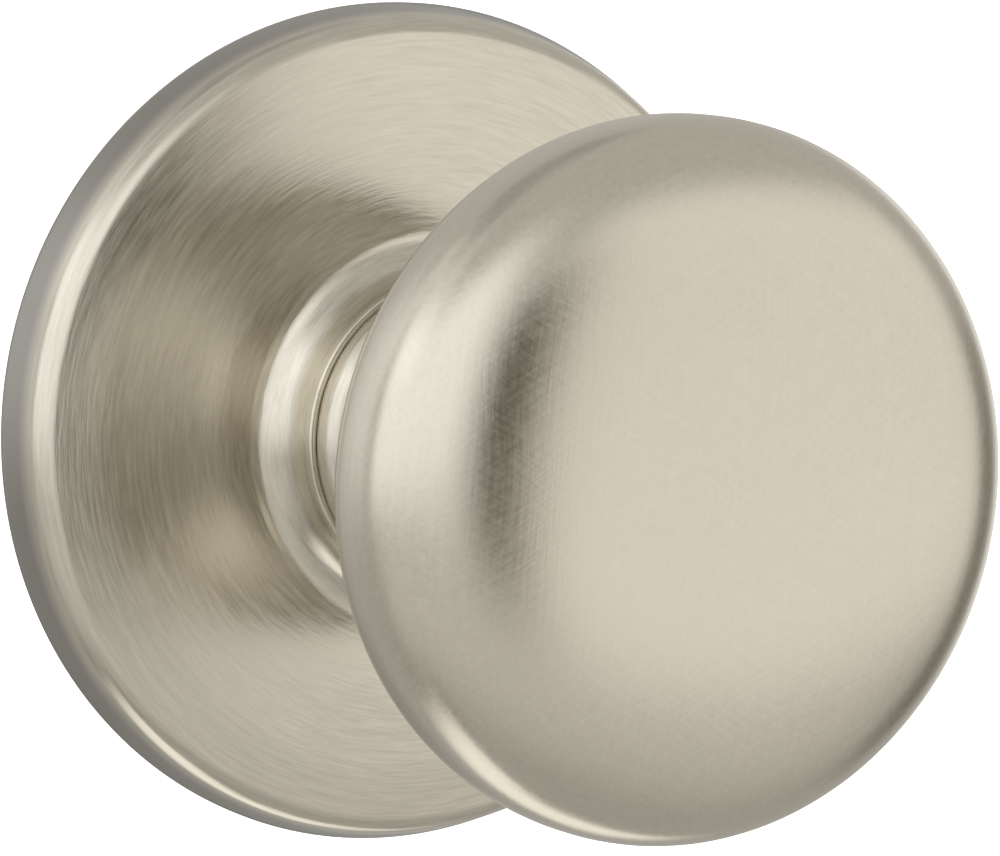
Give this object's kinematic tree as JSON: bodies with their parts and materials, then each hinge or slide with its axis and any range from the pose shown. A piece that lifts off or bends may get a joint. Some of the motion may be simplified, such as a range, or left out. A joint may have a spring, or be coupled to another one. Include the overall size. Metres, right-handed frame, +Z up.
{
  "type": "door knob",
  "caption": "One side of a round passage door knob set: a turning, self-returning hollow knob on a round cover plate, with its spindle, spring cage and screw posts.",
  "frame": {"origin": "centre of the rose on the door's face, on the axis that the knob turns about", "axes": "+Y into the door along the spindle, -Y out along the knob, +Z up, X across the door's face"},
  "size_m": [0.0666, 0.103, 0.0666],
  "materials": {
    "satin_nickel": "satin nickel plate, finely brushed",
    "zinc_plated_steel": "zinc plated",
    "spring_steel": "oiled spring steel",
    "zinc_casting": "as cast",
    "nylon": "moulded, satin"
  },
  "bodies": {
    "trim": {"rose": "satin_nickel", "mounting_plate": "zinc_plated_steel", "post_left": "zinc_plated_steel", "post_right": "zinc_plated_steel", "spring_cage": "zinc_plated_steel", "cage_rivet_1": "zinc_plated_steel", "cage_rivet_2": "zinc_plated_steel", "cage_rivet_3": "zinc_plated_steel", "front_bush": "nylon", "rear_bush": "nylon", "return_spring": "spring_steel"},
    "knob": {"knob_front_shell": "satin_nickel", "knob_back_shell": "satin_nickel", "knob_hub": "zinc_casting", "shank": "zinc_plated_steel", "driver": "zinc_plated_steel", "thrust_washer": "zinc_plated_steel", "wave_washer": "spring_steel", "retaining_ring": "spring_steel", "spindle_plug": "zinc_casting", "spindle": "zinc_plated_steel", "spindle_pin": "spring_steel", "catch_spring": "spring_steel"},
    "catch": {"knob_catch": "zinc_plated_steel"}
  },
  "joints": [
    {"name": "knob_turn", "type": "hinge", "parent": "trim", "child": "knob", "pos_m": [0, 0, 0], "axis": [0, 1, 0], "range_deg": [-60, 60], "stiffness_Nm_per_rad": 0.3, "deforming": ["return_spring"]},
    {"name": "catch_press", "type": "slide", "parent": "knob", "child": "catch", "axis": [0, 0, 1], "range_m": [0, 0.0014], "stiffness_N_per_m": 400, "springref_m": -0.003, "deforming": ["catch_spring"]}
  ]
}
